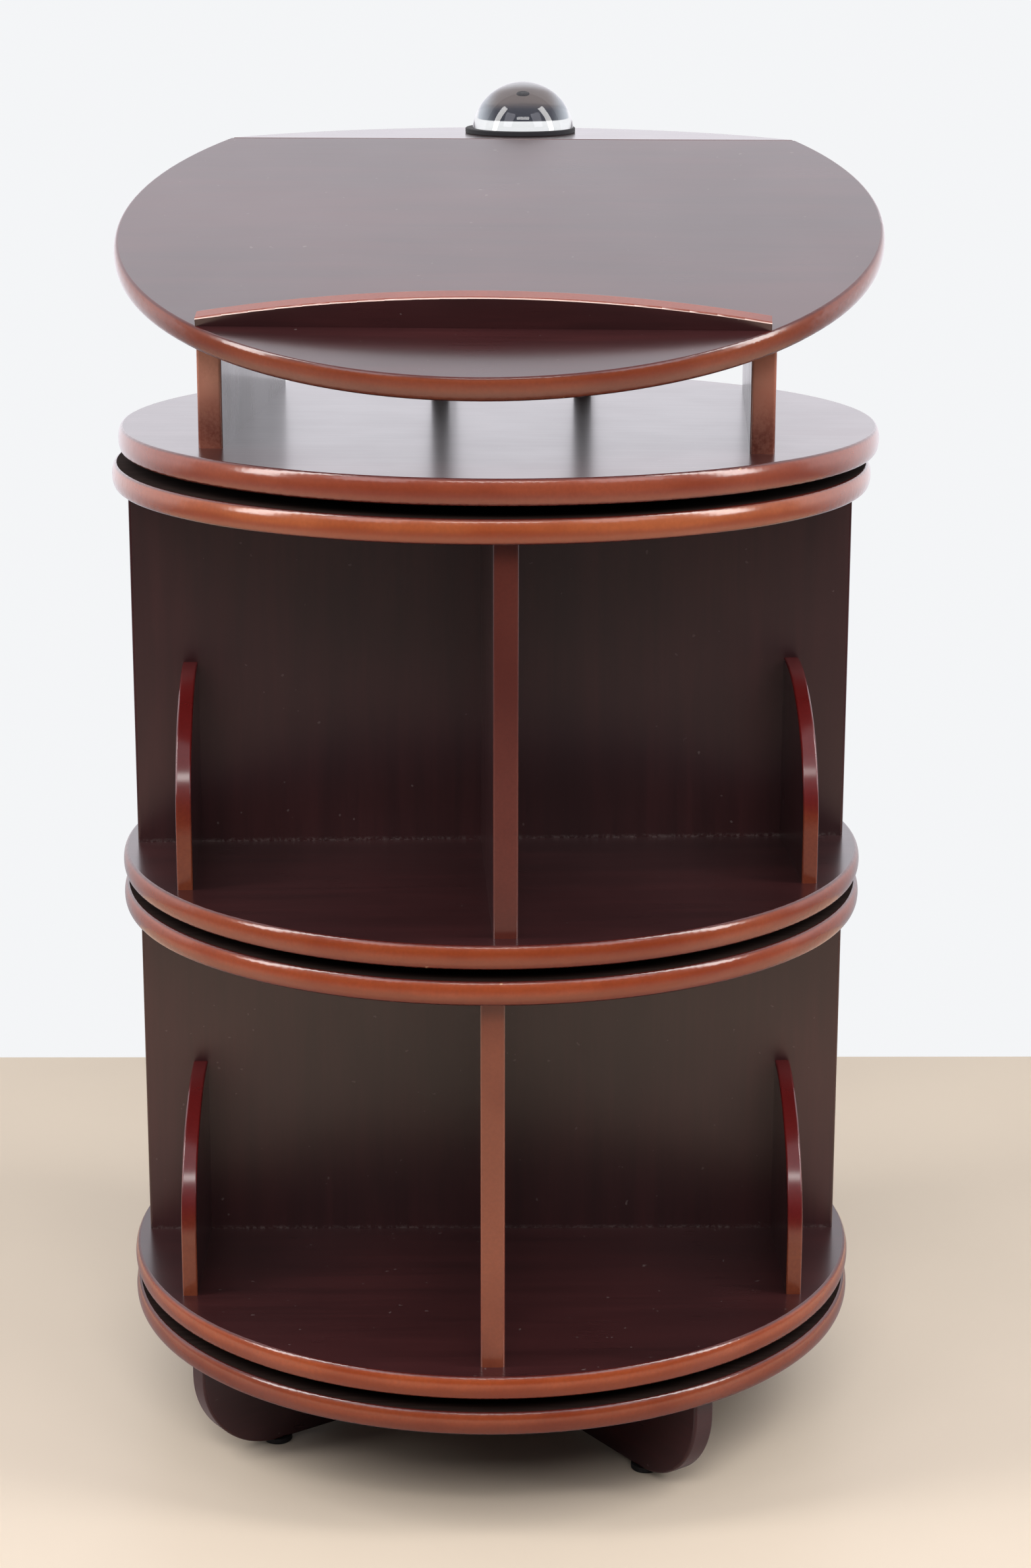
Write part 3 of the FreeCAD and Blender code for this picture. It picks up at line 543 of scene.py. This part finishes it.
def paint_lectern():
    turn = TURNS["lectern"]
    side = turned((1, 0, 0), turn)
    book_up = square_to_slope(BOOK_TILT, turn)
    book_along = book_up.cross(side)
    paint_round_board("turntable_board", side, gloss=TURNTABLE_GLOSS, coat_gloss=TURNTABLE_COAT_GLOSS)
    paint_round_board("book_board", side, book_up)
    paint_round_board("rear_board", side, square_to_slope(REAR_TILT, turn))
    face = face_wood("riser_face", UP, side, RISER_SEED, RISER_GLOSS, RISER_COAT_GLOSS, RISER_COAT)
    edge = edge_wood("riser_edge", UP, span("riser_left", UP), RISER_LOW, RISER_HIGH_PAINTED_LIGHT, steps=RISER_STEPS,
                     nicks=False, gloss=UPRIGHT_EDGE_GLOSS, painted_arris=None)
    for node in ("riser_left", "riser_right", "rear_partition_left", "rear_partition_right"):
        paint(node, face, edge, side)
    edge = edge_wood("lip_edge", book_along, span("book_lip", book_along), LIP_EDGE, LIP_EDGE, nicks=False,
                     painted_arris=LIP_PAINTED_HIGHLIGHT, painted_arris_band=LIP_HIGHLIGHT_BAND, coat=LIP_COAT)
    paint("book_lip", face_wood("lip_face", side, book_along, LIP_SEED), edge, book_along)


# ---------------------------------------------------------------- glass dome
DOME_SIDES = 128
DOME_STEPS = 40
DOME_SHARP = math.radians(30.0)
FELT_ROUNDING = 0.0005
AIR_GAP = 0.00002


def lathed(name, profile, origin, axis, material, node):
    """A smooth solid of the dome turned from (radius, height) points, which stands for a CAD node."""
    tilt = UP.rotation_difference(axis)
    angles = [2 * math.pi * index / DOME_SIDES for index in range(DOME_SIDES)]
    mesh = bmesh.new()
    rings = []
    for radius, height in profile:
        ring = [Vector((radius * math.cos(a), radius * math.sin(a), height)) for a in angles]
        rings.append([mesh.verts.new(origin + tilt @ place) for place in (ring if radius else ring[:1])])
    for below, above in zip(rings, rings[1:]):
        for index in range(DOME_SIDES):
            corners = [below[index % len(below)], below[(index + 1) % len(below)],
                       above[(index + 1) % len(above)], above[index % len(above)]]
            mesh.faces.new(list(dict.fromkeys(corners)))
    bmesh.ops.recalc_face_normals(mesh, faces=mesh.faces)
    data = bpy.data.meshes.new(name)
    mesh.to_mesh(data)
    mesh.free()
    for polygon in data.polygons:
        polygon.use_smooth = True
    data.set_sharp_from_angle(angle=DOME_SHARP)
    data.materials.append(material)
    piece = bpy.data.objects.new(name, data)
    scene.collection.objects.link(piece)
    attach(piece, "dome")
    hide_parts(node)


def disc_of(node, axis):
    """The middle of a round node's foot, its radius and its height."""
    side = axis.cross(Vector((0, 1, 0))).normalized()
    ahead = side.cross(axis)
    (left, right), (near, far), (low, high) = (span(node, way) for way in (side, ahead, axis))
    return side * (left + right) / 2 + ahead * (near + far) / 2 + axis * low, (right - left) / 2, high - low


def make_dome():
    lift = next(joint for joint in frame["joints"] if joint["name"] == "dome_lift")
    axis = Vector(lift["axis"]).normalized()
    foot, spread, height = disc_of("dome_glass", axis)
    ball = (spread ** 2 + height ** 2) / (2 * height)
    centre = height - ball
    start = math.asin((AIR_GAP - centre) / ball)
    arc = [start + (math.pi / 2 - start) * index / DOME_STEPS for index in range(DOME_STEPS)]
    dome = [(ball * math.cos(a), centre + ball * math.sin(a)) for a in arc]
    profile = [(0.0, AIR_GAP), *dome, (0.0, height)]
    lathed("dome_crystal", profile, foot, axis, dome_crystal(), "dome_glass")
    foot, radius, top = disc_of("dome_felt", axis)
    r = FELT_ROUNDING
    profile = [(0.0, 0.0), (radius - r, 0.0), (radius, r), (radius, top - r), (radius - r, top), (0.0, top)]
    lathed("dome_felt_pad", profile, foot, axis, felt_cloth(), "dome_felt")


# ---------------------------------------------------------------- bearings and fasteners
# By a word of the node's name: the material's name, its colour, its least and most roughness, its scale.
METALS = {
    # The bearing rings' near-black colour is painted shade: it stands for the dark gap between the boards.
    "ring": ("bearing_metal_painted_shade", (0.045, 0.044, 0.045), (0.50, 0.65), 30.0),
    "balls": ("ball_metal", (0.60, 0.60, 0.60), (0.12, 0.20), 60.0),
    "screws": ("screw_metal", (0.55, 0.53, 0.48), (0.25, 0.40), 200.0),
}


def paint_hardware():
    finishes = {word: metal(*values) for word, values in METALS.items()}
    finishes["dowels"] = beech_wood()
    for name in frame["nodes"]:
        for word in name.split("_"):
            if word in finishes:
                paint(name, finishes[word])


paint_base()
paint_tier("lower")
paint_tier("upper")
paint_lectern()
paint_hardware()
make_dome()

# ---------------------------------------------------------------- room
WALL_WHITE = (0.905, 0.915, 0.930)
# Painted light: reflections see the backdrops in this tint, and the wall glows, giving light though it is no
# lamp, brighter higher up in reflections.
PAINTED_REFLECTION_TINT = (0.905, 0.880, 0.940)
WALL_BACK = 0.694
WALL_TOP = 3.0
WALL_GLOW = 0.70
WALL_PAINTED_LIGHT_RAMPS = ((0.05, 0.75, 0.45, 1.20), (0.75, 1.5, 0.0, 0.12))
ROOM_HALF = 4.0
FLOOR_OAK = (0.62, 0.53, 0.43)
FLOOR_WEAR_SCALE = 3.0
FLOOR_WEAR = 0.35
FLOOR_WORN = 0.9
FLOOR_GLOSS = 0.45
# Painted shade in reflections: they see the floor darker and warmer than it is, darker still near the tower,
# as a painted shadow, and far off.
FLOOR_MIRRORED_SHADE = (0.58, 0.43, 0.33)
FLOOR_PAINTED_SHADE = (0.165, 0.125, 0.140)
FLOOR_SHADOW_BAND = (0.40, 0.70)
FLOOR_SHADOW_SHARE = 0.80
FLOOR_FAR_SHADE_BAND = (0.9, 2.2)
# Painted light and shade that only glass sees of the world, laid out to draw the dome's inside.
GLASS_PAINTED_DARK = (0.016, 0.018, 0.034)
GLASS_PAINTED_BROWN = (0.150, 0.120, 0.115)
GLASS_PAINTED_HIGH = (0.44, 0.44, 0.46)
GLASS_PAINTED_SIDE = (0.45, 0.50, 0.56)
LOW_BAND = (0.142, 0.156)
MIDDLE_BAND = (0.30, 0.44)
HIGH_BAND = (0.62, 0.84)
SIDE_BAND = (0.38, 0.86)
EDGE_BAND = (0.80, 0.92)
SKY_BAND = (-0.5, 0.9)
SKY_BACKWARD = 0.6
SKY_MIRRORED = (0.03, 0.85)
SKY_PLAIN = (0.04, 0.60)


def plane_object(name, corners, material):
    data = bpy.data.meshes.new(name)
    data.from_pydata(corners, [], [tuple(range(len(corners)))])
    data.materials.append(material)
    thing = bpy.data.objects.new(name, data)
    scene.collection.objects.link(thing)


def floor_material():
    """Pale floor. Reflections see it darker and warmer, as painted shade, and darker still close to the
    tower, as a painted shadow, and further away, leaving a paler ring round the tower.
    """
    material, g = new_graph("floor_paint")
    place = g.place()
    worn = g.vary(g.noise(place, FLOOR_WEAR_SCALE, detail=3.0), 0.0, FLOOR_WEAR)
    tone = g.mix(worn, FLOOR_OAK, shade(FLOOR_OAK, FLOOR_WORN))
    radius = g.add("VectorMath", {0: place}, operation="LENGTH").outputs["Value"]
    # Painted shadow near the tower and painted shade far off, in reflections only.
    near = g.range(radius, *FLOOR_SHADOW_BAND, FLOOR_SHADOW_SHARE, 0.0)
    painted_shade_reach = g.math("MAXIMUM", near, g.range(radius, *FLOOR_FAR_SHADE_BAND))
    mirrored = g.ray("Glossy")
    tone = g.mix(mirrored, tone, FLOOR_MIRRORED_SHADE)
    painted_shade = g.math("MULTIPLY", painted_shade_reach, mirrored)
    g.surface(Base_Color=g.mix(painted_shade, tone, FLOOR_PAINTED_SHADE), Roughness=FLOOR_GLOSS)
    return material


def light_by_ray(g, mirrored_strength, plain_strength):
    """A backdrop's colour and strength: white to the eye, with a painted tint in reflections, and one
    strength for them and one for the light that it gives."""
    unseen = g.blend(g.ray("Glossy"), plain_strength, mirrored_strength)
    return g.mix(g.ray("Glossy"), WALL_WHITE, PAINTED_REFLECTION_TINT), g.blend(g.ray("Camera"), unseen, 1.0)


def wall_material():
    """White to the eye. It glows, giving light though it is no lamp, and reflections see it tinted and
    brighter higher up: painted light. It is open from behind and to glass.
    """
    material, g = new_graph("wall_paint")
    height = g.split(g.place())["Z"]
    lit = g.math("ADD", *(g.range(height, *ramp) for ramp in WALL_PAINTED_LIGHT_RAMPS))
    colour, strength = light_by_ray(g, lit, WALL_GLOW)
    light = g.add("Emission", {"Color": colour, "Strength": strength})
    clear = g.add("BsdfTransparent")
    through = g.math("MAXIMUM", g.add("NewGeometry").outputs["Backfacing"], g.ray("Transmission"))
    g.output("OutputMaterial", g.add("MixShader", {0: through, 1: light.outputs[0], 2: clear.outputs[0]}))
    return material


def seen_through_glass(g, ahead):
    """What glass sees of the world, painted light and shade that draw the dome's inside: white up to a low
    height, dark over it, a brownish band higher up, and light overhead and at the sides.
    """
    side = g.math("ABSOLUTE", ahead["X"])
    above = g.range(ahead["Z"], *LOW_BAND)
    tone = g.mix(above, WALL_WHITE, GLASS_PAINTED_DARK)
    tone = g.mix(g.range(ahead["Z"], *MIDDLE_BAND), tone, GLASS_PAINTED_BROWN)
    tone = g.mix(g.range(ahead["Z"], *HIGH_BAND), tone, GLASS_PAINTED_HIGH)
    tone = g.mix(g.math("MULTIPLY", g.range(side, *SIDE_BAND), above), tone, GLASS_PAINTED_SIDE)
    return g.mix(g.range(side, *EDGE_BAND), tone, WALL_WHITE)


def make_world():
    world = bpy.data.worlds.new("room")
    scene.world = world
    g = Graph(world)
    ahead = g.split(g.add("TexCoord").outputs["Generated"])
    lift = g.math("ADD", ahead["Z"], g.math("MULTIPLY", ahead["Y"], SKY_BACKWARD))
    mirrored, plain = (g.range(lift, *SKY_BAND, *ends) for ends in (SKY_MIRRORED, SKY_PLAIN))
    colour, strength = light_by_ray(g, mirrored, plain)
    through = g.ray("Transmission")
    colour = g.mix(through, colour, seen_through_glass(g, ahead))
    strength = g.blend(through, strength, 1.0)
    g.output("OutputWorld", g.add("Background", {"Color": colour, "Strength": strength}))


def make_room():
    h, y, z = ROOM_HALF, WALL_BACK, WALL_TOP
    plane_object("floor", [(-h, -h, 0), (h, -h, 0), (h, h, 0), (-h, h, 0)], floor_material())
    plane_object("wall", [(-h, y, 0), (h, y, 0), (h, y, z), (-h, y, z)], wall_material())
    make_world()


make_room()

# ---------------------------------------------------------------- lamps
WARM = (1.0, 0.98, 0.96)
LAVENDER = (0.95, 0.92, 1.0)
# The lamp's name and place, the height on the axis that it looks at, its width, height and watts, its colour,
# and whether reflections show it.
LAMPS = (
    ("softbox_left", (-2.0, -0.65, 2.05), 0.6, 0.60, 2.3, 45.0, WARM, True),
    ("softbox_right", (2.0, -0.65, 2.05), 0.6, 0.60, 2.3, 45.0, WARM, True),
    ("fill_left", (-1.40, -1.70, 2.30), 0.6, 1.0, 1.5, 10.0, LAVENDER, True),
    ("fill_right", (1.40, -1.70, 2.30), 0.6, 1.0, 1.5, 10.0, LAVENDER, True),
    ("fill_front", (0.0, -2.8, 2.5), 0.5, 2.2, 1.2, 51.0, WARM, False),
    ("strip_front", (0.0, -2.5, 2.9), 0.7, 1.6, 0.4, 16.0, WARM, True),
)


def area_light(name, place, target_height, width, height, watts, colour, mirrored):
    data = bpy.data.lights.new(name, "AREA")
    data.shape = "RECTANGLE"
    data.size, data.size_y = width, height
    data.energy = watts
    data.color = colour
    light = bpy.data.objects.new(name, data)
    light.location = place
    aim = UP * target_height - Vector(place)
    light.rotation_euler = aim.to_track_quat("-Z", "Y").to_euler()
    light.visible_camera = False
    light.visible_glossy = mirrored
    scene.collection.objects.link(light)


for lamp in LAMPS:
    area_light(*lamp)

scene.view_settings.view_transform = "Standard"
